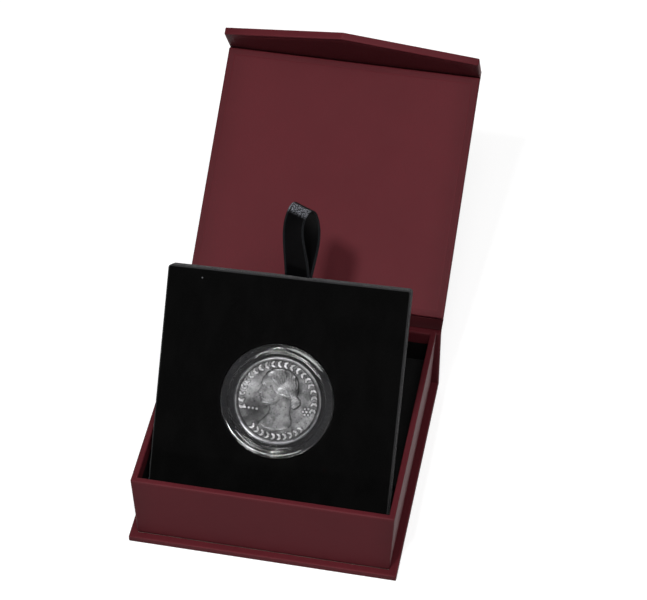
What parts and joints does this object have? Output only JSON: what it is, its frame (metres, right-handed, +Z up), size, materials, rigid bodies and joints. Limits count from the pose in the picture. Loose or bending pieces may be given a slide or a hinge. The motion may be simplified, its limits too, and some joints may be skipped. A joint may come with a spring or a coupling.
{
  "type": "coin display case",
  "caption": "Book-style maroon gift case with a folding magnetic lid, standing open, and a black velvet insert raised at a slant to show a coin in a round clear capsule.",
  "frame": {"origin": "middle of the base underside, on the surface that the case stands on", "axes": "+X right along the front edge, +Y to the back, towards the hinged lid, +Z up"},
  "size_m": [0.0756, 0.1416, 0.084],
  "materials": {
    "grey_board": "bare grey board",
    "maroon_paper": "dull maroon covering paper",
    "maroon_lining": "dull maroon lining paper",
    "black_paper": "matt black lining paper",
    "black_card": "matt black card",
    "black_foam": "dense black foam",
    "black_velvet": "short black velvet",
    "black_satin": "ribbed black satin ribbon",
    "clear_plastic": "clear moulded plastic",
    "coin_metal": "bright struck metal",
    "magnet_steel": "nickel plated"
  },
  "bodies": {
    "case": {"base_board": "grey_board", "base_wrap": "maroon_paper", "spine_board": "grey_board", "spine_wrap": "maroon_paper", "tray_front_wall": "grey_board", "tray_rear_wall": "grey_board", "tray_left_wall": "grey_board", "tray_right_wall": "grey_board", "tray_floor": "grey_board", "tray_wrap": "maroon_paper", "tray_lining": "black_paper", "tray_magnets": "magnet_steel", "riser_block": "black_foam", "front_pad": "black_foam"},
    "insert": {"insert_foam": "black_foam", "insert_velvet": "black_velvet", "insert_card": "black_card", "ribbon_tails": "black_satin", "ribbon_loop": "black_satin", "capsule_base": "clear_plastic", "capsule_cover": "clear_plastic", "coin": "coin_metal"},
    "hinge_strip": {"lid_hinge_strip": "maroon_paper"},
    "lid": {"lid_board": "grey_board", "lid_wrap": "maroon_paper", "lid_lining": "maroon_lining", "flap_hinge_strip": "maroon_paper"},
    "flap": {"flap_board": "grey_board", "flap_wrap": "maroon_paper", "flap_lining": "maroon_lining", "flap_magnets": "magnet_steel"}
  },
  "joints": [
    {"name": "lid_raise", "type": "hinge", "parent": "case", "child": "hinge_strip", "pos_m": [0, 0.03755, 0.0229], "axis": [1, 0, 0], "range_deg": [0, 81.5]},
    {"name": "lid_close", "type": "hinge", "parent": "hinge_strip", "child": "lid", "pos_m": [0, 0.0405, 0.02367], "axis": [1, 0, 0], "range_deg": [-30, 65.2]},
    {"name": "flap_fold", "type": "hinge", "parent": "lid", "child": "flap", "pos_m": [0, 0.10369, 0.06518], "axis": [1, 0, 0], "range_deg": [-90, 0]},
    {"name": "insert_tilt", "type": "hinge", "parent": "case", "child": "insert", "pos_m": [0, -0.01965, 0.01875], "axis": [-0.9992, -0.0174, -0.0373], "range_deg": [0, 50.14], "deforming": ["ribbon_loop"]}
  ],
  "couplings": [
    {"joint": "insert_tilt", "follows": "lid_raise", "ratio": 0.61518}
  ]
}
